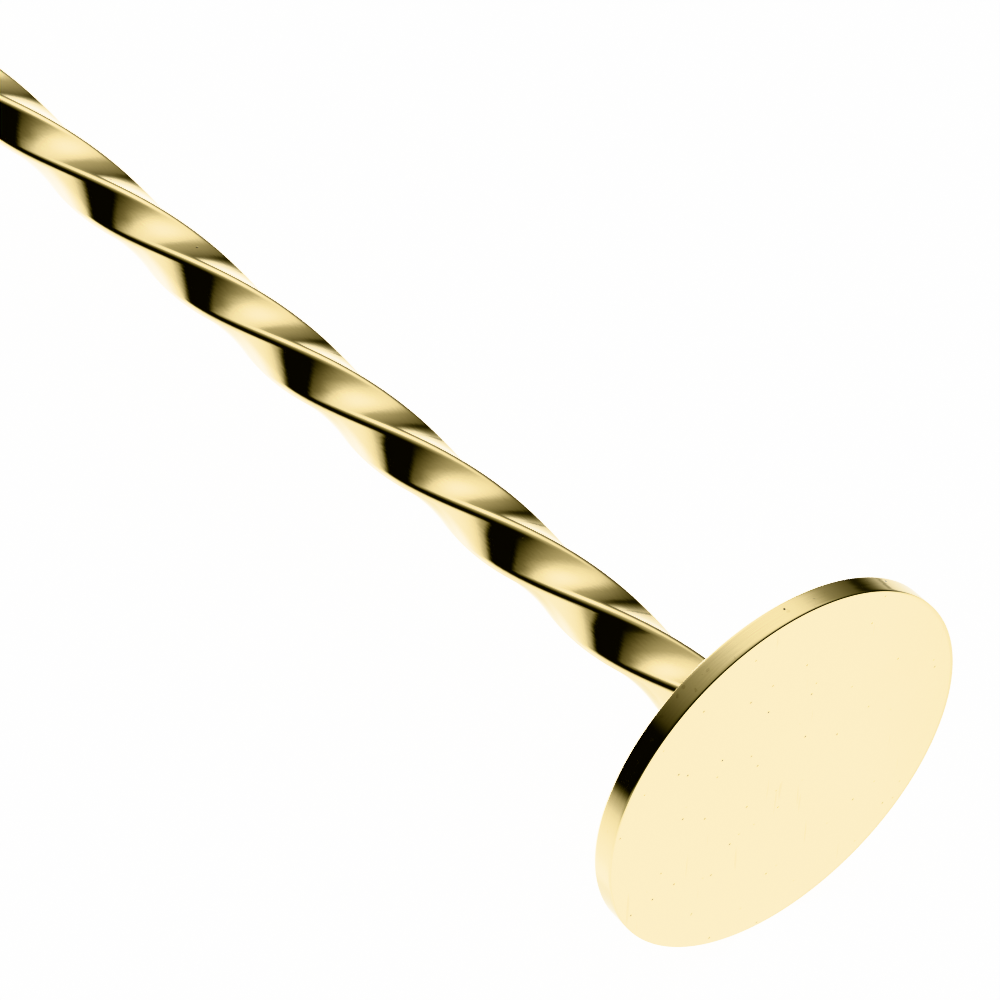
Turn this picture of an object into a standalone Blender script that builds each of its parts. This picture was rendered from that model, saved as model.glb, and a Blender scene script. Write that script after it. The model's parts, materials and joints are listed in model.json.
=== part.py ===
"""Bar spoon: a twisted square stem with a flat masher disc at one end and a teardrop bowl at the other.

The spoon is modelled along its own axis: the origin is the centre of the disc's front face, +X points out
of the disc, the stem runs towards -X and the bowl opens towards +Z. A parent empty then lays the whole
spoon down on its disc rim and the underside of its bowl, with the middle of its box over the origin.
"""

import math

import bmesh
import bpy
from mathutils import Matrix, Vector

# Driving dimensions, in metres
OVERALL_LENGTH = 0.280

DISC_DIAMETER = 0.028
DISC_THICKNESS = 0.00163
DISC_EDGE_BREAK = 0.00012
DISC_DIP_DEG = 1.76      # the disc is brazed on slightly out of square: its face dips
DISC_TURN_DEG = -1.86    # and is turned sideways, about the spoon's +Z

STEM_SIDE = 0.00381
STEM_SWELL = 0.00004     # how far the middle of each side stands out
STEM_CORNER_RADIUS = 0.00063
STEM_PHASE_DEG = 15.1    # direction of the first side's normal at the disc, from +Y towards +Z
PITCH_AT_DISC = 0.0422   # length of one full left-hand turn of the twist
PITCH_AT_NECK = 0.0757
PITCH_SETTLES_AT = 0.150  # distance behind the disc where the pitch stops growing

NECK_START = 0.212       # the square runs out into a round neck between these two distances
NECK_ROUND = 0.226
NECK_RADIUS = 0.0020

BOWL_LENGTH = 0.0445     # with its own short neck
BOWL_NECK_LENGTH = 0.0075
BOWL_WIDTH = 0.0260
BOWL_DEPTH = 0.0070      # at the middle of the sheet
BOWL_SHEET = 0.0011
BOWL_RIM_DROP = 0.0016   # the rim starts this far below the stem's axis
BOWL_RIM_RISE = 0.0008   # and rises this much towards the tip, so that it is level at rest

SPIGOT_RADIUS = 0.0013   # both ends of the stem are turned down to a spigot
DISC_RECESS_DEPTH = 0.00105
NECK_SOCKET_DEPTH = 0.0062
BRAZE_DISC_RADIUS = 0.0039
BRAZE_DISC_HEIGHT = 0.0016
BRAZE_CLEARANCE = 0.00048  # a little more than the gap, because the braze leans with the disc
BRAZE_NECK_LENGTH = 0.0026
BRAZE_NECK_HEIGHT = 0.0006

GAP = 0.00035            # clearance between neighbouring solids

# Fineness of the meshes
SECTION_POINTS = 24
ROWS_PER_TURN = 22
DISC_SEGMENTS = 96
BOWL_ROWS = 30
BOWL_SECTION_POINTS = 40

GOLD_STEM = ("gold_stem", (0.93, 0.80, 0.50, 1.0), 0.06)
GOLD_DISC = ("gold_disc", (0.95, 0.82, 0.53, 1.0), 0.08)
GOLD_BOWL = ("gold_bowl", (0.93, 0.80, 0.50, 1.0), 0.08)
GOLD_BRAZE = ("gold_braze", (0.88, 0.74, 0.45, 1.0), 0.16)


def clear_scene():
    for item in list(bpy.data.objects):
        bpy.data.objects.remove(item, do_unlink=True)


def new_collection(name):
    collection = bpy.data.collections.new(name)
    bpy.context.scene.collection.children.link(collection)
    return collection


def metal(name, colour, roughness):
    material = bpy.data.materials.new(name)
    material.use_nodes = True
    shader = material.node_tree.nodes["Principled BSDF"]
    shader.inputs["Base Color"].default_value = colour
    shader.inputs["Metallic"].default_value = 1.0
    shader.inputs["Roughness"].default_value = roughness
    material.diffuse_color = colour
    return material


def add_object(name, mesh, collection, finish=None):
    thing = bpy.data.objects.new(name, mesh)
    collection.objects.link(thing)
    if finish:
        mesh.materials.append(metal(*finish))
    mesh.shade_smooth()
    mesh.set_sharp_from_angle(angle=math.radians(35))
    return thing


def smooth_step(value):
    value = min(max(value, 0.0), 1.0)
    return value * value * (3.0 - 2.0 * value)


def mix(first, second, share):
    return first + (second - first) * share


# The twisted square bar ----------------------------------------------------------------------------------


def twist_turns(distance):
    """Turns made by the bar from the disc face to this distance behind it.

    The rate falls evenly from the disc's pitch to the neck's and then stays the same.
    """
    first, last = 1.0 / PITCH_AT_DISC, 1.0 / PITCH_AT_NECK
    falling = min(distance, PITCH_SETTLES_AT)
    turns = first * falling - (first - last) * falling**2 / (2.0 * PITCH_SETTLES_AT)
    return turns + last * (distance - falling)


def bar_phase(distance):
    return math.radians(STEM_PHASE_DEG) + 2.0 * math.pi * twist_turns(distance)


def rounded_square_radius(angle, half_side, corner, swell):
    """Distance from the middle of a square with rounded corners to its edge, in one direction.

    The angle is measured from the middle of a side. The sides swell slightly outwards.
    """
    quarter = math.pi / 2.0
    folded = abs((angle + quarter / 2.0) % quarter - quarter / 2.0)
    centre = half_side - corner
    if math.tan(folded) * half_side <= centre:
        from_middle = math.tan(folded) * half_side / centre if centre > 0.0 else 0.0
        return (half_side + swell * (1.0 - from_middle**2)) / math.cos(folded)
    along = centre * (math.cos(folded) + math.sin(folded))
    across = centre * (math.cos(folded) - math.sin(folded))
    return along + math.sqrt(max(corner**2 - across**2, 0.0))


def bar_section(distance, extra=0.0):
    """Points of the bar's section: a rounded square that turns, and becomes a circle at the neck."""
    share = smooth_step((distance - NECK_START) / (NECK_ROUND - NECK_START))
    half_side = mix(STEM_SIDE / 2.0, NECK_RADIUS, share)
    corner = mix(STEM_CORNER_RADIUS, half_side, share)
    swell = mix(STEM_SWELL, 0.0, share)
    phase = bar_phase(distance)
    points = []
    for index in range(SECTION_POINTS):
        angle = 2.0 * math.pi * index / SECTION_POINTS
        radius = rounded_square_radius(angle, half_side, corner, swell) + extra
        turned = angle + phase
        points.append(Vector((-distance, radius * math.cos(turned), radius * math.sin(turned))))
    return points


def ring_section(distance, radius, phase):
    points = []
    for index in range(SECTION_POINTS):
        angle = phase + 2.0 * math.pi * index / SECTION_POINTS
        points.append(Vector((-distance, radius * math.cos(angle), radius * math.sin(angle))))
    return points


def loft(name, rows, end_to_end=False):
    """Skin a list of closed sections: capped at both ends, or joined last to first as a ring."""
    mesh_data = bmesh.new()
    loops = [[mesh_data.verts.new(point) for point in row] for row in rows]
    pairs = list(zip(loops, loops[1:]))
    if end_to_end:
        pairs.append((loops[-1], loops[0]))
    for here, there in pairs:
        for index in range(len(here)):
            after = (index + 1) % len(here)
            mesh_data.faces.new((here[index], here[after], there[after], there[index]))
    if not end_to_end:
        mesh_data.faces.new(loops[0])
        mesh_data.faces.new(loops[-1])
    bmesh.ops.recalc_face_normals(mesh_data, faces=mesh_data.faces)
    mesh = bpy.data.meshes.new(name)
    mesh_data.to_mesh(mesh)
    mesh_data.free()
    return mesh


def neck_joint():
    """Distance behind the disc face where the stem meets the bowl's neck."""
    return OVERALL_LENGTH - BOWL_LENGTH


def twisted_stem(collection):
    start = DISC_THICKNESS + GAP
    end = neck_joint() - GAP
    spigot_front = DISC_THICKNESS - DISC_RECESS_DEPTH + GAP
    spigot_back = neck_joint() + NECK_SOCKET_DEPTH - GAP
    turns = twist_turns(end) - twist_turns(start)
    count = round(turns * ROWS_PER_TURN)
    rows = [ring_section(spigot_front, SPIGOT_RADIUS, bar_phase(start))]
    rows.append(ring_section(start, SPIGOT_RADIUS, bar_phase(start)))
    for index in range(count + 1):
        rows.append(bar_section(mix(start, end, index / count)))
    rows.append(ring_section(end, SPIGOT_RADIUS, bar_phase(end)))
    rows.append(ring_section(spigot_back, SPIGOT_RADIUS, bar_phase(end)))
    return add_object("twisted_stem", loft("twisted_stem", rows), collection, GOLD_STEM)


# The disc and its braze ----------------------------------------------------------------------------------


def cylinder_along_x(name, radius, front, back, segments):
    """A capped cylinder between two distances behind the origin."""
    mesh_data = bmesh.new()
    bmesh.ops.create_cone(
        mesh_data,
        cap_ends=True,
        segments=segments,
        radius1=radius,
        radius2=radius,
        depth=back - front,
        matrix=(
            Matrix.Translation((-(front + back) / 2.0, 0.0, 0.0))
            @ Matrix.Rotation(math.pi / 2.0, 4, "Y")
        ),
    )
    mesh = bpy.data.meshes.new(name)
    mesh_data.to_mesh(mesh)
    mesh_data.free()
    return mesh


def cut(thing, cutter):
    cutter.hide_render = True
    cutter.display_type = "WIRE"
    step = thing.modifiers.new("cut", "BOOLEAN")
    step.operation = "DIFFERENCE"
    step.solver = "EXACT"
    step.object = cutter


def disc_lean():
    """Rotation of the disc, which isn't quite square to the stem."""
    return (0.0, math.radians(DISC_DIP_DEG), math.radians(DISC_TURN_DEG))


def masher_disc(collection, cutters):
    mesh = cylinder_along_x("masher_disc", DISC_DIAMETER / 2.0, 0.0, DISC_THICKNESS, DISC_SEGMENTS)
    disc = add_object("masher_disc", mesh, collection, GOLD_DISC)
    edge = disc.modifiers.new("edge_break", "BEVEL")
    edge.width = DISC_EDGE_BREAK
    edge.segments = 2
    edge.limit_method = "ANGLE"
    edge.angle_limit = math.radians(60)
    recess = cylinder_along_x(
        "disc_recess", SPIGOT_RADIUS + GAP, DISC_THICKNESS - DISC_RECESS_DEPTH, 2.0 * DISC_THICKNESS, 32
    )
    recess_cutter = add_object("disc_recess", recess, cutters)
    recess_cutter.parent = disc
    cut(disc, recess_cutter)
    disc.rotation_euler = disc_lean()
    return disc


def disc_braze(collection):
    """Concave fillet of filler metal around the foot of the stem, on the disc's back face."""
    foot = DISC_THICKNESS + GAP
    steps = 6
    outer, inner = [], []
    for index in range(steps + 1):
        angle = math.pi / 2.0 * index / steps
        distance = foot + BRAZE_DISC_HEIGHT * (1.0 - math.cos(angle))
        inner_row = bar_section(distance, extra=BRAZE_CLEARANCE)
        outer_row = []
        for point in inner_row:
            inner_radius = math.hypot(point.y, point.z)
            least = inner_radius + GAP
            radius = max(least, BRAZE_DISC_RADIUS - (BRAZE_DISC_RADIUS - least) * math.sin(angle))
            growth = radius / inner_radius
            outer_row.append(Vector((-distance, point.y * growth, point.z * growth)))
        outer.append(outer_row)
        inner.append(inner_row)
    rows = outer + inner[::-1]
    fillet = add_object("disc_braze", loft("disc_braze", rows, end_to_end=True), collection, GOLD_BRAZE)
    fillet.rotation_euler = disc_lean()
    return fillet


# The bowl ------------------------------------------------------------------------------------------------


def teardrop(share):
    """Half width of the bowl's outline against its widest, from the neck (0) to the tip (1)."""
    flare, bluntness = 0.8, 0.5
    widest = flare / (flare + bluntness)
    peak = widest**flare * (1.0 - widest) ** bluntness
    return share**flare * (1.0 - share) ** bluntness / peak


def bowl_section(along):
    """One closed section of the bowl, at a distance from the mouth of its neck."""
    share = min(max((along - BOWL_NECK_LENGTH) / (BOWL_LENGTH - BOWL_NECK_LENGTH), 0.0), 1.0)
    outline = teardrop(share)
    spread = smooth_step(share / 0.4)
    tip = math.sqrt(max(1.0 - share**24, 0.0))
    half_width = math.sqrt(NECK_RADIUS**2 * (1.0 - share) + (BOWL_WIDTH / 2.0 * outline) ** 2)
    half_sheet = mix(NECK_RADIUS, BOWL_SHEET / 2.0, spread) * tip
    edge_power = mix(2.0, 10.0, spread)
    rim = BOWL_RIM_RISE * share - BOWL_RIM_DROP * smooth_step(along / (0.5 * BOWL_LENGTH))
    depth = BOWL_DEPTH * outline**2
    points = []
    for index in range(BOWL_SECTION_POINTS):
        angle = 2.0 * math.pi * (index + 0.5) / BOWL_SECTION_POINTS
        across = math.cos(angle)
        sheet = half_sheet * math.sqrt(1.0 - abs(across) ** edge_power)
        height = rim - depth * (1.0 - across**2) + math.copysign(sheet, math.sin(angle))
        points.append(Vector((-neck_joint() - along, half_width * across, height)))
    return points


def bowl_stations():
    """Distances from the mouth of the neck, close together where the outline turns fast."""
    stations = [0.0, BOWL_NECK_LENGTH * 0.5]
    for index in range(BOWL_ROWS):
        share = (1.0 - math.cos(math.pi * index / BOWL_ROWS)) / 2.0
        stations.append(mix(BOWL_NECK_LENGTH, BOWL_LENGTH, share))
    last = 1.0 - (1.0 - math.cos(math.pi * 0.35 / BOWL_ROWS)) / 2.0
    stations.append(mix(BOWL_NECK_LENGTH, BOWL_LENGTH, last))
    return stations


def spoon_bowl(collection, cutters):
    rows = [bowl_section(along) for along in bowl_stations()]
    bowl = add_object("spoon_bowl", loft("spoon_bowl", rows), collection, GOLD_BOWL)
    start = neck_joint() - 2.0 * GAP
    end = neck_joint() + NECK_SOCKET_DEPTH
    socket = cylinder_along_x("neck_socket", SPIGOT_RADIUS + GAP, start, end, 24)
    cut(bowl, add_object("neck_socket", socket, cutters))
    return bowl


def neck_braze(collection):
    """Low round bead of filler metal over the joint between the stem and the bowl's neck."""
    inner = NECK_RADIUS + GAP
    steps = 8
    profile = bmesh.new()
    points = []
    for index in range(steps + 1):
        angle = math.pi * index / steps
        offset = -BRAZE_NECK_LENGTH / 2.0 * math.cos(angle)
        points.append((inner + BRAZE_NECK_HEIGHT * (0.25 + 0.75 * math.sin(angle)), offset))
    points += [(inner, BRAZE_NECK_LENGTH / 2.0), (inner, -BRAZE_NECK_LENGTH / 2.0)]
    corners = [profile.verts.new((radius, 0.0, -offset)) for radius, offset in points]
    for index, corner in enumerate(corners):
        profile.edges.new((corner, corners[(index + 1) % len(corners)]))
    mesh = bpy.data.meshes.new("neck_braze")
    profile.to_mesh(mesh)
    profile.free()
    bead = add_object("neck_braze", mesh, collection, GOLD_BRAZE)
    turn = bead.modifiers.new("turn", "SCREW")
    turn.axis = "Z"
    turn.steps = 48
    turn.render_steps = 48
    turn.use_merge_vertices = True
    turn.merge_threshold = 0.00001
    turn.use_smooth_shade = True
    bead.location = (-neck_joint(), 0.0, 0.0)
    bead.rotation_euler = (0.0, -math.pi / 2.0, 0.0)
    return bead


# The whole spoon -----------------------------------------------------------------------------------------


def world_points(things):
    """Every corner of the finished meshes, in world space."""
    graph = bpy.context.evaluated_depsgraph_get()
    points = []
    for thing in things:
        finished = thing.evaluated_get(graph)
        points += [finished.matrix_world @ vertex.co for vertex in finished.data.vertices]
    return points


def lay_down(holder, things):
    """Turn the spoon until disc rim and bowl underside are level, then centre it on the origin."""
    for _ in range(3):
        bpy.context.view_layer.update()
        points = world_points(things)
        middle = sum(point.x for point in points) / len(points)
        disc_foot = min((point for point in points if point.x > middle), key=lambda point: point.z)
        bowl_foot = min((point for point in points if point.x <= middle), key=lambda point: point.z)
        slope = math.atan2(disc_foot.z - bowl_foot.z, disc_foot.x - bowl_foot.x)
        holder.rotation_euler.y += slope
    bpy.context.view_layer.update()
    points = world_points(things)
    low = Vector([min(point[axis] for point in points) for axis in range(3)])
    high = Vector([max(point[axis] for point in points) for axis in range(3)])
    holder.location = (-(low.x + high.x) / 2.0, -(low.y + high.y) / 2.0, -low.z)


def build():
    clear_scene()
    spoon = new_collection("bar_spoon")
    cutters = new_collection("cutters")
    things = [
        twisted_stem(spoon),
        masher_disc(spoon, cutters),
        disc_braze(spoon),
        spoon_bowl(spoon, cutters),
        neck_braze(spoon),
    ]
    holder = bpy.data.objects.new("bar_spoon_at_rest", None)
    spoon.objects.link(holder)
    for thing in things + [cutters.objects["neck_socket"]]:
        thing.parent = holder
    lay_down(holder, things)


build()
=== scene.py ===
"""Looks of the bar spoon: fine meshes, polished pale-gold plating, a white studio and the camera.

The pieces are built along the spoon's own axis: the origin is the centre of the disc's front face, +X points
out of the disc and the bowl opens towards +Z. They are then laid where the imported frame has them.
"""

import json
import math

import bmesh
import bpy
from mathutils import Matrix, Vector


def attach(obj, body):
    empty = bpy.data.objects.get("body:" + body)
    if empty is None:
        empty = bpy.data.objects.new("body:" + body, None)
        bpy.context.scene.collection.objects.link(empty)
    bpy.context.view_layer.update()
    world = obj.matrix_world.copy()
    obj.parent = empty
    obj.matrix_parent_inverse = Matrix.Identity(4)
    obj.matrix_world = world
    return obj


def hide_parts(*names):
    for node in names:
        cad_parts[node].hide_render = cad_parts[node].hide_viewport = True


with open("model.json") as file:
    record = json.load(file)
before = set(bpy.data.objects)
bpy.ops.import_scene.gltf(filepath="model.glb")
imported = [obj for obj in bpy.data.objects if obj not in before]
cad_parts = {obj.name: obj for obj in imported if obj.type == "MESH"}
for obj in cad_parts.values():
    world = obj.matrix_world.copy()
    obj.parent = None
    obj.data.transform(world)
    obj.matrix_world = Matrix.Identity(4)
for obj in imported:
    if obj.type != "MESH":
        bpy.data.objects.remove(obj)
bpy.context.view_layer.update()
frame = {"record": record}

# Sizes in metres, the same as the part's
OVERALL_LENGTH = 0.280

DISC_RADIUS = 0.014
DISC_THICKNESS = 0.00163
DISC_EDGE_BREAK = 0.00012
DISC_DIP_DEG = 1.76
DISC_TURN_DEG = -1.86

STEM_SIDE = 0.00381
STEM_SWELL = 0.00004     # how far the middle of each side stands out
STEM_CORNER_RADIUS = 0.00063
STEM_PHASE_DEG = 15.1
PITCH_AT_DISC = 0.0422
PITCH_AT_NECK = 0.0757
PITCH_SETTLES_AT = 0.150
NECK_START = 0.212
NECK_ROUND = 0.226
NECK_RADIUS = 0.0020

BOWL_LENGTH = 0.0445
BOWL_NECK_LENGTH = 0.0075
BOWL_WIDTH = 0.0260
BOWL_DEPTH = 0.0070
BOWL_SHEET = 0.0011
BOWL_RIM_DROP = 0.0016
BOWL_RIM_RISE = 0.0008

BRAZE_DISC_RADIUS = 0.0039
BRAZE_DISC_HEIGHT = 0.0016
BRAZE_NECK_LENGTH = 0.0030
BRAZE_NECK_HEIGHT = 0.00042
BURIED = 0.00004         # how far a fillet reaches into the pieces that it joins

# Fineness of the meshes
ARC_POINTS = 10          # on each rounded arris of the stem
FLAT_POINTS = 12         # on each flat of the stem
ROWS_PER_TURN = 72
ROUND_SEGMENTS = 256
BEAD_SEGMENTS = 96
EDGE_STEPS = 6           # over the disc's broken edge
DISC_FILLET_STEPS = 14
BEAD_STEPS = 16
FACE_SHARES = (0.00001, 0.2, 0.5, 0.8, 0.93, 0.975)  # rings on the disc's face, as shares of its radius
BACK_SHARES = (0.975, 0.8, 0.5, 0.2, 0.00001)
RIM_SHARES = (0.1, 0.35, 0.65, 0.9)
NECK_SHARES = (0.0, 0.2, 0.4, 0.6, 0.8)  # sections along the bowl's straight neck
SHARP_EDGE_DEG = 50.0
BOWL_ROWS = 84
BOWL_SECTION_POINTS = 112

# The camera, in the spoon's own axes
CAMERA_PLACE = (0.103082, -0.103211, 0.148022)
CAMERA_FORWARD = (-0.59662, 0.46484, -0.65420)
CAMERA_RIGHT = (0.61460, 0.78884, 0.0)
CAMERA_LENS_MM = 117.75
CAMERA_SENSOR_MM = 36.0


def smooth_step(value):
    value = min(max(value, 0.0), 1.0)
    return value * value * (3.0 - 2.0 * value)


def mix(first, second, share):
    return first + (second - first) * share


# Where the spoon lies ------------------------------------------------------------------------------------


def spoon_placement():
    """The spoon's own axes in the frame, from the disc face's mount: its place, and how far it dips."""
    mount = next(m for m in frame["record"]["mounts"] if m["name"] == "disc_face")
    lie = -math.asin(mount["axis"][2]) - math.radians(DISC_DIP_DEG)
    return Matrix.Translation(mount["pos_m"]) @ Matrix.Rotation(lie, 4, "Y")


PLACEMENT = spoon_placement()
DISC_LEAN = (
    Matrix.Rotation(math.radians(DISC_TURN_DEG), 4, "Z")
    @ Matrix.Rotation(math.radians(DISC_DIP_DEG), 4, "Y")
)


# Node helpers --------------------------------------------------------------------------------------------


class Nodes:
    """Short names for the shader nodes that the materials and the studio use."""

    def __init__(self, tree):
        self.tree = tree
        self.tree.nodes.clear()

    def add(self, kind, **settings):
        node = self.tree.nodes.new(kind)
        for name, value in settings.items():
            setattr(node, name, value)
        return node

    def put(self, socket, value):
        if isinstance(value, bpy.types.NodeSocket):
            self.tree.links.new(value, socket)
        else:
            socket.default_value = value

    def math(self, operation, first, second=None, third=None):
        node = self.add("ShaderNodeMath", operation=operation)
        for socket, value in zip(node.inputs, (first, second, third)):
            if value is not None:
                self.put(socket, value)
        return node.outputs[0]

    def ramp(self, value, start, end, low=0.0, high=1.0):
        """Smooth rise from low to high while the value goes from start to end."""
        node = self.add("ShaderNodeMapRange", interpolation_type="SMOOTHSTEP", clamp=True)
        for socket, given in zip(node.inputs, (value, start, end, low, high)):
            self.put(socket, given)
        return node.outputs[0]

    def blend(self, share, first, second):
        node = self.add("ShaderNodeMix", data_type="FLOAT")
        self.put(node.inputs[0], share)
        self.put(node.inputs[2], first)
        self.put(node.inputs[3], second)
        return node.outputs[0]

    def colour_blend(self, share, first, second):
        node = self.add("ShaderNodeMix", data_type="RGBA")
        self.put(node.inputs[0], share)
        self.put(node.inputs[6], first)
        self.put(node.inputs[7], second)
        return node.outputs[2]

    def object_point(self, scale=(1.0, 1.0, 1.0), turn=(0.0, 0.0, 0.0)):
        """The point on the piece, in metres times scale, after a turn in degrees."""
        where = self.add("ShaderNodeTexCoord")
        turned = self.add("ShaderNodeMapping")
        self.put(turned.inputs["Vector"], where.outputs["Object"])
        turned.inputs["Rotation"].default_value = [math.radians(angle) for angle in turn]
        scaled = self.add("ShaderNodeMapping")
        self.put(scaled.inputs["Vector"], turned.outputs[0])
        scaled.inputs["Scale"].default_value = scale
        return scaled.outputs[0]

    def noise(self, point, scale, detail=2.0, roughness=0.5):
        node = self.add("ShaderNodeTexNoise")
        self.put(node.inputs["Vector"], point)
        node.inputs["Scale"].default_value = scale
        node.inputs["Detail"].default_value = detail
        node.inputs["Roughness"].default_value = roughness
        return node.outputs["Fac"]

    def bump(self, height, strength, distance, normal=None):
        node = self.add("ShaderNodeBump")
        self.put(node.inputs["Height"], height)
        node.inputs["Strength"].default_value = strength
        node.inputs["Distance"].default_value = distance
        if normal is not None:
            self.put(node.inputs["Normal"], normal)
        return node.outputs[0]


# Materials -----------------------------------------------------------------------------------------------

PALE_GOLD = (0.985, 0.82, 0.43, 1.0)
DEEP_GOLD = (0.965, 0.775, 0.37, 1.0)
PIT_BROWN = (0.06, 0.045, 0.02, 1.0)
SCRATCH_GOLD = (0.52, 0.41, 0.20, 1.0)

# Fineness of the plating's detail, in cells of noise to the metre
DRIFT_CELLS = 90.0       # colour
WAVE_CELLS = 700.0       # slow waves left by polishing
HAZE_CELLS = 1500.0      # roughness
GRAIN_CELLS = 5000.0     # polishing grain

SCRATCH_SPACING = 0.0004        # metres between the streaks of the first direction
SCRATCH_SPACING_STEP = 0.00011  # and how much wider they are in each further one
SCRATCH_STRETCH = 0.07          # their width against their length
SCRATCH_CREST = 0.745           # only the crests of the noise above this are scratches
SCRATCH_COLOUR_SHARE = 0.4
SCRATCH_ROUGHNESS = 0.10

PIT_CELL = 0.001         # metres
PIT_EDGE = 0.12          # radius of a pit, in cells
PIT_CORE = 0.05
PIT_DEPTH = 0.00001


def hairlines(nodes, turn, spacing):
    """Sparse straight hairline scratches: long streaks of noise, thresholded to their crests."""
    streaks = nodes.noise(nodes.object_point((1.0, SCRATCH_STRETCH, 1.0), turn), 1.0 / spacing, 1.0)
    return nodes.ramp(streaks, SCRATCH_CREST, SCRATCH_CREST + 0.03)


def specks(nodes, keep):
    """Tiny round pits, one in a share (keep) of the cells of a scattered grid."""
    cells = nodes.add("ShaderNodeTexVoronoi")
    nodes.put(cells.inputs["Vector"], nodes.object_point())
    cells.inputs["Scale"].default_value = 1.0 / PIT_CELL
    close = nodes.ramp(cells.outputs["Distance"], PIT_EDGE, PIT_CORE)
    split = nodes.add("ShaderNodeSeparateColor")
    nodes.put(split.inputs[0], cells.outputs["Color"])
    chosen = nodes.math("GREATER_THAN", split.outputs[0], 1.0 - keep)
    return nodes.math("MULTIPLY", close, chosen)


def gold_plating(name, roughness, waves, grain, grain_stretch, scratch_turns=(), pits=0.03, tone=0.35):
    """Polished gold plating over steel: slow colour drift, polishing waves, hairlines and a few pits.

    waves and grain are the heights, in metres, of the slow waves and of the fine polishing grain.
    """
    material = bpy.data.materials.new(name)
    material.use_nodes = True
    nodes = Nodes(material.node_tree)
    shader = nodes.add("ShaderNodeBsdfPrincipled")
    shader.inputs["Metallic"].default_value = 1.0
    drift = nodes.noise(nodes.object_point(), DRIFT_CELLS, 3.0)
    colour = nodes.colour_blend(nodes.math("MULTIPLY", drift, tone), PALE_GOLD, DEEP_GOLD)
    haze = nodes.noise(nodes.object_point(grain_stretch), HAZE_CELLS, 4.0, 0.6)
    rough = nodes.ramp(haze, 0.3, 0.75, roughness * 0.7, roughness * 1.4)
    slow_waves = nodes.noise(nodes.object_point(), WAVE_CELLS, 2.0, 0.55)
    fine_grain = nodes.noise(nodes.object_point(grain_stretch), GRAIN_CELLS, 3.0)
    normal = nodes.bump(fine_grain, 1.0, grain, nodes.bump(slow_waves, 1.0, waves))
    for index, turn in enumerate(scratch_turns):
        lines = hairlines(nodes, turn, SCRATCH_SPACING + SCRATCH_SPACING_STEP * index)
        share = nodes.math("MULTIPLY", lines, SCRATCH_COLOUR_SHARE)
        colour = nodes.colour_blend(share, colour, SCRATCH_GOLD)
        rough = nodes.math("ADD", rough, nodes.math("MULTIPLY", lines, SCRATCH_ROUGHNESS))
    pitted = specks(nodes, pits)
    nodes.put(shader.inputs["Base Color"], nodes.colour_blend(pitted, colour, PIT_BROWN))
    nodes.put(shader.inputs["Roughness"], rough)
    nodes.put(shader.inputs["Normal"], nodes.bump(pitted, 1.0, -PIT_DEPTH, normal))
    output = nodes.add("ShaderNodeOutputMaterial")
    nodes.put(output.inputs["Surface"], shader.outputs[0])
    return material


# Meshes --------------------------------------------------------------------------------------------------


def twist_turns(distance):
    """Turns made by the bar up to a distance behind the disc face; the rate falls evenly, then stays."""
    first, last = 1.0 / PITCH_AT_DISC, 1.0 / PITCH_AT_NECK
    falling = min(distance, PITCH_SETTLES_AT)
    turns = first * falling - (first - last) * falling**2 / (2.0 * PITCH_SETTLES_AT)
    return turns + last * (distance - falling)


def bar_phase(distance):
    return math.radians(STEM_PHASE_DEG) + 2.0 * math.pi * twist_turns(distance)


def rounded_square(half_side, corner, swell, outward=0.0):
    """Points of a square with rounded corners, once round: each corner's arc, then the flat after it."""
    points = []
    centre = half_side - corner
    for side in range(4):
        turn = Matrix.Rotation(side * math.pi / 2.0, 2)
        for index in range(ARC_POINTS):
            angle = math.pi / 2.0 * index / ARC_POINTS
            arc = Vector((math.cos(angle), math.sin(angle))) * (corner + outward)
            points.append(turn @ (Vector((centre, centre)) + arc))
        for index in range(FLAT_POINTS):
            share = index / FLAT_POINTS
            height = half_side + outward + swell * (1.0 - (2.0 * share - 1.0) ** 2)
            points.append(turn @ Vector((mix(centre, -centre, share), height)))
    return points


def bar_section(distance, outward=0.0):
    share = smooth_step((distance - NECK_START) / (NECK_ROUND - NECK_START))
    half_side = mix(STEM_SIDE / 2.0, NECK_RADIUS, share)
    corner = mix(STEM_CORNER_RADIUS, half_side * 0.98, share)
    turn = Matrix.Rotation(bar_phase(distance), 2)
    swell = mix(STEM_SWELL, 0.0, share)
    turned_points = [turn @ point for point in rounded_square(half_side, corner, swell, outward)]
    return [Vector((-distance, point.x, point.y)) for point in turned_points]


def loft(name, rows, closed_ends=(True, True), joined=False):
    """Skin a list of closed sections, capped at the ends asked for, or joined last to first."""
    mesh_data = bmesh.new()
    loops = [[mesh_data.verts.new(point) for point in row] for row in rows]
    pairs = list(zip(loops, loops[1:]))
    if joined:
        pairs.append((loops[-1], loops[0]))
    for here, there in pairs:
        for index in range(len(here)):
            after = (index + 1) % len(here)
            mesh_data.faces.new((here[index], here[after], there[after], there[index]))
    if not joined:
        for wanted, loop in zip(closed_ends, (loops[0], loops[-1])):
            if wanted:
                mesh_data.faces.new(loop)
    bmesh.ops.remove_doubles(mesh_data, verts=mesh_data.verts, dist=1e-8)
    bmesh.ops.recalc_face_normals(mesh_data, faces=mesh_data.faces)
    mesh = bpy.data.meshes.new(name)
    mesh_data.to_mesh(mesh)
    mesh_data.free()
    mesh.shade_smooth()
    mesh.set_sharp_from_angle(angle=math.radians(SHARP_EDGE_DEG))
    return mesh


def turned(profile, segments=ROUND_SEGMENTS):
    """Rows of a solid of revolution about X, from (distance behind the origin, radius) points."""
    rows = []
    for distance, radius in profile:
        row = []
        for index in range(segments):
            angle = 2.0 * math.pi * index / segments
            row.append(Vector((-distance, radius * math.cos(angle), radius * math.sin(angle))))
        rows.append(row)
    return rows


def neck_joint():
    return OVERALL_LENGTH - BOWL_LENGTH


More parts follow.
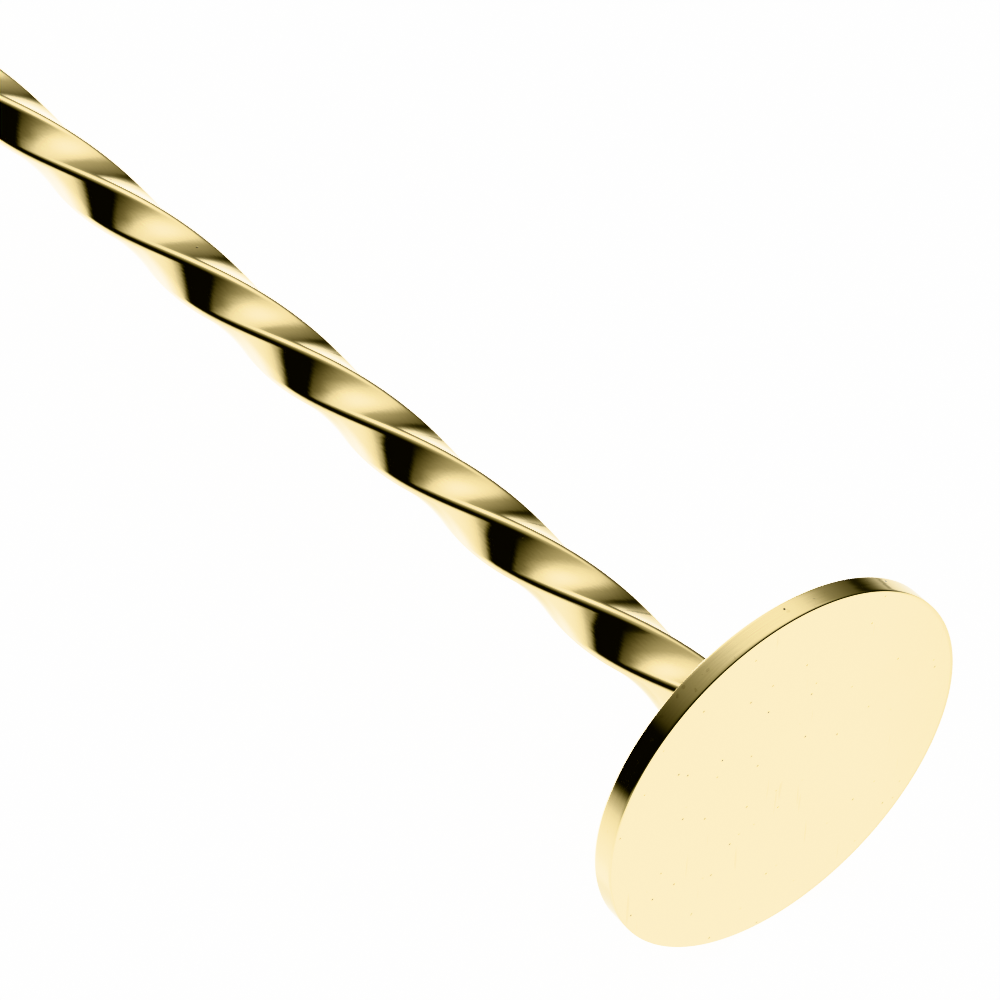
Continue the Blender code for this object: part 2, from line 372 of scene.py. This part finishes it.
def stem_mesh():
    start = DISC_THICKNESS - BURIED
    end = neck_joint()
    count = round((twist_turns(end) - twist_turns(start)) * ROWS_PER_TURN)
    return loft("stem", [bar_section(mix(start, end, index / count)) for index in range(count + 1)])


def disc_profile():
    """Half section of the disc, from the middle of its face over the rim to the middle of its back."""
    profile = [(0.0, DISC_RADIUS * share) for share in FACE_SHARES]
    flat_edge = DISC_RADIUS - DISC_EDGE_BREAK
    for index in range(EDGE_STEPS + 1):
        angle = math.pi / 2.0 * index / EDGE_STEPS
        profile.append(
            (
                DISC_EDGE_BREAK * (1.0 - math.cos(angle)),
                flat_edge + DISC_EDGE_BREAK * math.sin(angle),
            )
        )
    rim_start, rim_end = DISC_EDGE_BREAK, DISC_THICKNESS - DISC_EDGE_BREAK
    profile += [(mix(rim_start, rim_end, share), DISC_RADIUS) for share in RIM_SHARES]
    for index in range(EDGE_STEPS + 1):
        angle = math.pi / 2.0 * index / EDGE_STEPS
        profile.append(
            (
                rim_end + DISC_EDGE_BREAK * math.sin(angle),
                flat_edge + DISC_EDGE_BREAK * math.cos(angle),
            )
        )
    profile += [(DISC_THICKNESS, DISC_RADIUS * share) for share in BACK_SHARES]
    return profile


def disc_mesh():
    return loft("disc", turned(disc_profile()))


def disc_fillet_mesh():
    """Concave fillet from the disc's back up the foot of the stem."""
    foot = DISC_THICKNESS - BURIED
    outside, inside = [], []
    for index in range(DISC_FILLET_STEPS + 1):
        angle = math.pi / 2.0 * index / DISC_FILLET_STEPS
        distance = foot + BRAZE_DISC_HEIGHT * (1.0 - math.cos(angle))
        bar = bar_section(distance)
        row = []
        for point in bar:
            bar_radius = math.hypot(point.y, point.z)
            radius = BRAZE_DISC_RADIUS - (BRAZE_DISC_RADIUS - bar_radius) * math.sin(angle)
            row.append(Vector((-distance, point.y * radius / bar_radius, point.z * radius / bar_radius)))
        outside.append(row)
        inside.append(bar_section(distance, -BURIED))
    return loft("disc_fillet", outside + inside[::-1], joined=True)


def neck_bead_mesh():
    """Low bead over the joint between the stem and the bowl's neck."""
    profile = []
    for index in range(BEAD_STEPS + 1):
        share = index / BEAD_STEPS
        swell = math.sin(math.pi * share) ** 1.5
        radius = NECK_RADIUS - BURIED + (BRAZE_NECK_HEIGHT + BURIED) * swell
        profile.append((neck_joint() + BRAZE_NECK_LENGTH * (share - 0.5), radius))
    for share in (0.75, 0.25):
        profile.append((neck_joint() + BRAZE_NECK_LENGTH * (share - 0.5), NECK_RADIUS - 3.0 * BURIED))
    return loft("neck_bead", turned(profile, BEAD_SEGMENTS), joined=True)


def teardrop(share):
    """Half width of the bowl's outline against its widest, from the neck (0) to the tip (1)."""
    flare, bluntness = 0.8, 0.5
    widest = flare / (flare + bluntness)
    peak = widest**flare * (1.0 - widest) ** bluntness
    return share**flare * (1.0 - share) ** bluntness / peak


def bowl_section(along):
    """One closed section of the bowl, at a distance from the mouth of its neck."""
    share = min(max((along - BOWL_NECK_LENGTH) / (BOWL_LENGTH - BOWL_NECK_LENGTH), 0.0), 1.0)
    outline = teardrop(share)
    spread = smooth_step(share / 0.4)
    tip = math.sqrt(max(1.0 - share**24, 0.0))
    half_width = math.sqrt(NECK_RADIUS**2 * (1.0 - share) + (BOWL_WIDTH / 2.0 * outline) ** 2)
    half_sheet = mix(NECK_RADIUS, BOWL_SHEET / 2.0, spread) * tip
    edge_power = mix(2.0, 10.0, spread)
    rim = BOWL_RIM_RISE * share - BOWL_RIM_DROP * smooth_step(along / (0.5 * BOWL_LENGTH))
    depth = BOWL_DEPTH * outline**2
    points = []
    for index in range(BOWL_SECTION_POINTS):
        angle = 2.0 * math.pi * index / BOWL_SECTION_POINTS
        across = math.cos(angle)
        sheet = half_sheet * math.sqrt(max(1.0 - abs(across) ** edge_power, 0.0))
        height = rim - depth * (1.0 - across**2) + math.copysign(sheet, math.sin(angle))
        points.append(Vector((-neck_joint() - along, half_width * across, height)))
    return points


def bowl_mesh():
    stations = [BOWL_NECK_LENGTH * share for share in NECK_SHARES]
    for index in range(BOWL_ROWS + 1):
        share = (1.0 - math.cos(math.pi * index / BOWL_ROWS)) / 2.0
        stations.append(mix(BOWL_NECK_LENGTH, BOWL_LENGTH, share))
    return loft("bowl", [bowl_section(along) for along in stations], closed_ends=(True, False))


def add_piece(name, mesh, material, node, lean=Matrix.Identity(4)):
    piece = bpy.data.objects.new(name, mesh)
    bpy.context.scene.collection.objects.link(piece)
    piece.matrix_world = PLACEMENT @ lean
    mesh.materials.append(material)
    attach(piece, "root")
    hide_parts(node)
    return piece


def add_spoon():
    along_stem = (0.35, 1.0, 1.0)  # stretches the grain along the spoon
    round_rim = (1.0, 0.06, 0.06)  # stretches it round the disc's rim
    face_scratches = ((90, 25, 0), (90, -40, 0), (90, 70, 0))  # directions, as turns in degrees
    bowl_scratches = ((0, 0, 20), (0, 0, -55))
    stem_gold = gold_plating(
        "stem_plating", roughness=0.05, waves=1.8e-6, grain=3e-6, grain_stretch=along_stem, tone=0.8
    )
    disc_gold = gold_plating(
        "disc_plating",
        roughness=0.06,
        waves=5e-7,
        grain=3e-6,
        grain_stretch=round_rim,
        scratch_turns=face_scratches,
        pits=0.14,
        tone=0.2,
    )
    bowl_gold = gold_plating(
        "bowl_plating",
        roughness=0.06,
        waves=1.6e-6,
        grain=4e-7,
        grain_stretch=along_stem,
        scratch_turns=bowl_scratches,
        tone=0.6,
    )
    braze_gold = gold_plating(
        "braze_plating", roughness=0.16, waves=5e-6, grain=1e-6, grain_stretch=along_stem, tone=1.0
    )
    add_piece("stem", stem_mesh(), stem_gold, "twisted_stem")
    add_piece("disc", disc_mesh(), disc_gold, "masher_disc", DISC_LEAN)
    add_piece("disc_fillet", disc_fillet_mesh(), braze_gold, "disc_braze")
    add_piece("bowl", bowl_mesh(), bowl_gold, "spoon_bowl")
    add_piece("neck_bead", neck_bead_mesh(), braze_gold, "neck_braze")


# Studio --------------------------------------------------------------------------------------------------

WHITE = 9.0              # what the camera sees of the ground and beyond it
DARK_ROOM = 0.004
WARM_LIGHT = (1.0, 0.98, 0.80, 1.0)  # colour of the room's dim parts
WHITE_LIGHT = (1.0, 1.0, 1.0, 1.0)   # and of its bright parts
WARM_BELOW = 0.25
WHITE_ABOVE = 0.9
GLOW_AZIMUTH = 164.0
GLOW_HEIGHT = 49.0
GLOW_CORE = 10.0         # degrees from its middle where the glow starts to fall
GLOW_REACH = 66.0        # and where it ends
GLOW_LIGHT = 0.57
UPRIGHT_LIGHT_CUT = 0.8  # how much of the light is gone above the dark flat, beyond its upright edge
TABLE_EDGE_LIGHT = 0.35  # the white table at its edge, under the dark flat
TABLE_BESIDE = 2.8       # the table on the camera's side, close by
TABLE_IN_FRONT = 3.2     # in front of the disc, which mirrors it
FRONT_FAR_SHARE = 0.55   # of that light, on the far side of the disc
TABLE_BEHIND = 13.0      # under the softboxes

# Ramps over azimuth or height, in degrees: from, to, and the values there where they aren't 0 and 1
FLAT_TOP = (202.0, 240.0, 14.5, 26.0)  # the flat's top edge slopes up
FLAT_TOP_SOFTNESS = (4.0, -3.0)
UPRIGHT_TOP = (75.0, 55.0)
WALL_TO_TABLE = (8.0, -30.0)
BEHIND_HEIGHTS = (-60.0, -36.0)
FRONT_TO_FAR = (44.5, 50.0)
BESIDE_HEIGHTS = (-8.0, -50.0)
EDGE_LIFT = (236.0, 258.0, 0.0, 9.0)   # the table's edge is higher towards the right
EDGE_SOFTNESS = (-7.0, -15.0)

# Where each part of the room is, by azimuth in degrees: it starts, is whole from, is whole to, ends
SHADOW_LINE_BAND = (100.0, 112.0, 126.0, 138.0)
TABLE_FAR_BAND = (124.0, 150.0, 196.0, 222.0)
TABLE_CAMERA_BAND = (194.0, 207.0, 330.0, 359.0)
DARK_FLAT_BAND = (194.0, 207.0, 350.0, 359.0)
UPRIGHT_BAND = (240.0, 246.0, 350.0, 359.0)

# Shadow gaps beyond the disc: height and reach (degrees), and the share of the light that they take away
SHADOW_LINES = ((9.0, 5.5, 0.75), (-9.0, 2.6, 0.5))

# Softboxes: azimuth, height, tilt, half width, half height (degrees), edge softness, brightness
SOFTBOXES = (
    (160.0, 49.0, 0.0, 25.0, 11.5, 0.95, 0.85),
    (177.0, 37.0, -30.0, 20.0, 10.0, 0.95, 0.85),
    (172.0, 46.0, 0.0, 11.0, 6.5, 0.95, 1.2),
)


def direction(azimuth, height):
    a, e = math.radians(azimuth), math.radians(height)
    return Vector((math.cos(a) * math.cos(e), math.sin(a) * math.cos(e), math.sin(e)))


def band(nodes, azimuth, start, whole_from, whole_to, end):
    """1 between two azimuths, falling softly to 0 on both sides."""
    rise = nodes.ramp(azimuth, start, whole_from)
    return nodes.math("MULTIPLY", rise, nodes.ramp(azimuth, end, whole_to))


def dot(nodes, vector, constant):
    node = nodes.add("ShaderNodeVectorMath", operation="DOT_PRODUCT")
    nodes.put(node.inputs[0], vector)
    node.inputs[1].default_value = constant
    return node.outputs["Value"]


def degrees_between(nodes, vector, constant):
    cosine = nodes.math("MINIMUM", nodes.math("MAXIMUM", dot(nodes, vector, constant), -1.0), 1.0)
    return nodes.math("DEGREES", nodes.math("ARCCOSINE", cosine))


def softbox(nodes, ray, azimuth, height, tilt, half_width, half_height, softness):
    """A slanting oval of light with a soft edge: 1 in its middle and 0 outside."""
    middle = direction(azimuth, height)
    side = Vector((0.0, 0.0, 1.0)).cross(middle).normalized()
    upward = middle.cross(side)
    turn = Matrix.Rotation(math.radians(tilt), 3, middle)
    facing = dot(nodes, ray, middle)
    squares = []
    for axis, half in ((turn @ side, half_width), (turn @ upward, half_height)):
        offset = nodes.math("DEGREES", nodes.math("ARCTAN2", dot(nodes, ray, axis), facing))
        share = nodes.math("DIVIDE", offset, half)
        squares.append(nodes.math("MULTIPLY", share, share))
    radius = nodes.math("SQRT", nodes.math("ADD", *squares))
    return nodes.ramp(radius, 1.0 + softness, 1.0 - softness)


def studio_sky(nodes, ray, azimuth, height):
    """The glow of wall and ceiling, the softboxes, and the dark flat and room on the camera's side."""
    from_glow = degrees_between(nodes, ray, direction(GLOW_AZIMUTH, GLOW_HEIGHT))
    sky = nodes.ramp(from_glow, GLOW_CORE, GLOW_REACH, GLOW_LIGHT, DARK_ROOM)
    for *shape, light in SOFTBOXES:
        sky = nodes.math("MULTIPLY_ADD", softbox(nodes, ray, *shape), light, sky)

    # The dark flat: a sloping top edge, and beyond its upright edge nothing but the dim room
    flat_width = band(nodes, azimuth, *DARK_FLAT_BAND)
    flat_top = nodes.ramp(azimuth, *FLAT_TOP)
    flat_height = nodes.ramp(nodes.math("SUBTRACT", height, flat_top), *FLAT_TOP_SOFTNESS)
    sky = nodes.blend(nodes.math("MULTIPLY", flat_width, flat_height), sky, DARK_ROOM)
    upright = band(nodes, azimuth, *UPRIGHT_BAND)
    upright = nodes.math("MULTIPLY", upright, nodes.ramp(height, *UPRIGHT_TOP))
    return nodes.blend(nodes.math("MULTIPLY", upright, UPRIGHT_LIGHT_CUT), sky, DARK_ROOM)


def shadow_lines(nodes, light, azimuth, height):
    """Thin shadow gaps in the wall and the table beyond the disc."""
    width = band(nodes, azimuth, *SHADOW_LINE_BAND)
    for middle, reach, depth in SHADOW_LINES:
        distance = nodes.math("ABSOLUTE", nodes.math("SUBTRACT", height, middle))
        line = nodes.math("MULTIPLY", nodes.ramp(distance, reach, 0.1 * reach), width)
        light = nodes.blend(nodes.math("MULTIPLY", line, depth), light, DARK_ROOM)
    return light


def studio_table(nodes, sky, azimuth, height):
    """The white table below the horizon, laid over the sky."""
    # Far side: it glows under the softboxes and runs into the wall without an edge
    behind = band(nodes, azimuth, *TABLE_FAR_BAND)
    behind_low = nodes.math("MULTIPLY", behind, nodes.ramp(height, *BEHIND_HEIGHTS))
    in_front = nodes.ramp(azimuth, *FRONT_TO_FAR, TABLE_IN_FRONT, FRONT_FAR_SHARE * TABLE_IN_FRONT)
    far_light = nodes.blend(behind_low, in_front, TABLE_BEHIND)
    with_far = nodes.blend(nodes.ramp(height, *WALL_TO_TABLE), sky, far_light)

    # Camera's side: it starts at an edge under the dark flat and grows brighter towards the spoon
    beside_camera = band(nodes, azimuth, *TABLE_CAMERA_BAND)
    full_light = nodes.blend(behind_low, TABLE_BESIDE, TABLE_BEHIND)
    near_light = nodes.blend(nodes.ramp(height, *BESIDE_HEIGHTS), TABLE_EDGE_LIGHT, full_light)
    lift = nodes.ramp(azimuth, *EDGE_LIFT)
    below_edge = nodes.ramp(nodes.math("SUBTRACT", height, lift), *EDGE_SOFTNESS)
    with_near = nodes.blend(below_edge, sky, near_light)
    return nodes.blend(beside_camera, with_far, with_near)


def studio_world():
    """What the metal sees. The camera itself sees plain white beyond the ground."""
    world = bpy.data.worlds.new("studio")
    bpy.context.scene.world = world
    world.use_nodes = True
    nodes = Nodes(world.node_tree)
    ray = nodes.add("ShaderNodeTexCoord").outputs["Generated"]
    parts = nodes.add("ShaderNodeSeparateXYZ")
    nodes.put(parts.inputs[0], ray)
    height = nodes.math("DEGREES", nodes.math("ARCSINE", parts.outputs[2]))
    azimuth = nodes.math("DEGREES", nodes.math("ARCTAN2", parts.outputs[1], parts.outputs[0]))
    azimuth = nodes.math("FLOORED_MODULO", azimuth, 360.0)
    sky = studio_sky(nodes, ray, azimuth, height)
    with_table = studio_table(nodes, sky, azimuth, height)
    seen_by_metal = shadow_lines(nodes, with_table, azimuth, height)
    is_camera = nodes.add("ShaderNodeLightPath").outputs["Is Camera Ray"]
    brightness = nodes.blend(is_camera, seen_by_metal, WHITE)
    whiteness = nodes.ramp(brightness, WARM_BELOW, WHITE_ABOVE)
    colour = nodes.colour_blend(whiteness, WARM_LIGHT, WHITE_LIGHT)
    background = nodes.add("ShaderNodeBackground")
    nodes.put(background.inputs["Color"], colour)
    nodes.put(background.inputs["Strength"], brightness)
    output = nodes.add("ShaderNodeOutputWorld")
    nodes.put(output.inputs["Surface"], background.outputs[0])


def ground():
    """A large white sheet under the spoon. It glows a little, like a light table."""
    size = 6.0
    mesh_data = bmesh.new()
    bmesh.ops.create_grid(mesh_data, x_segments=2, y_segments=2, size=size / 2.0)
    mesh = bpy.data.meshes.new("ground")
    mesh_data.to_mesh(mesh)
    mesh_data.free()
    sheet = bpy.data.objects.new("ground", mesh)
    bpy.context.scene.collection.objects.link(sheet)
    sheet.visible_glossy = False
    material = bpy.data.materials.new("ground")
    material.use_nodes = True
    nodes = Nodes(material.node_tree)
    shader = nodes.add("ShaderNodeBsdfPrincipled")
    shader.inputs["Base Color"].default_value = (0.8, 0.8, 0.8, 1.0)
    shader.inputs["Roughness"].default_value = 0.9
    shader.inputs["Specular IOR Level"].default_value = 0.0
    shader.inputs["Emission Color"].default_value = (1.0, 1.0, 1.0, 1.0)
    shader.inputs["Emission Strength"].default_value = WHITE
    output = nodes.add("ShaderNodeOutputMaterial")
    nodes.put(output.inputs["Surface"], shader.outputs[0])
    mesh.materials.append(material)


def add_camera():
    data = bpy.data.cameras.new("camera")
    data.lens = CAMERA_LENS_MM
    data.sensor_width = CAMERA_SENSOR_MM
    data.clip_start = 0.01
    data.clip_end = 20.0
    camera = bpy.data.objects.new("camera", data)
    bpy.context.scene.collection.objects.link(camera)
    back = -Vector(CAMERA_FORWARD).normalized()
    right = Vector(CAMERA_RIGHT).normalized()
    upward = back.cross(right).normalized()
    axes = Matrix((right, upward, back)).transposed().to_4x4()
    camera.matrix_world = PLACEMENT @ Matrix.Translation(CAMERA_PLACE) @ axes
    bpy.context.scene.camera = camera


add_spoon()
studio_world()
ground()
add_camera()
bpy.context.scene.view_settings.view_transform = "Khronos PBR Neutral"
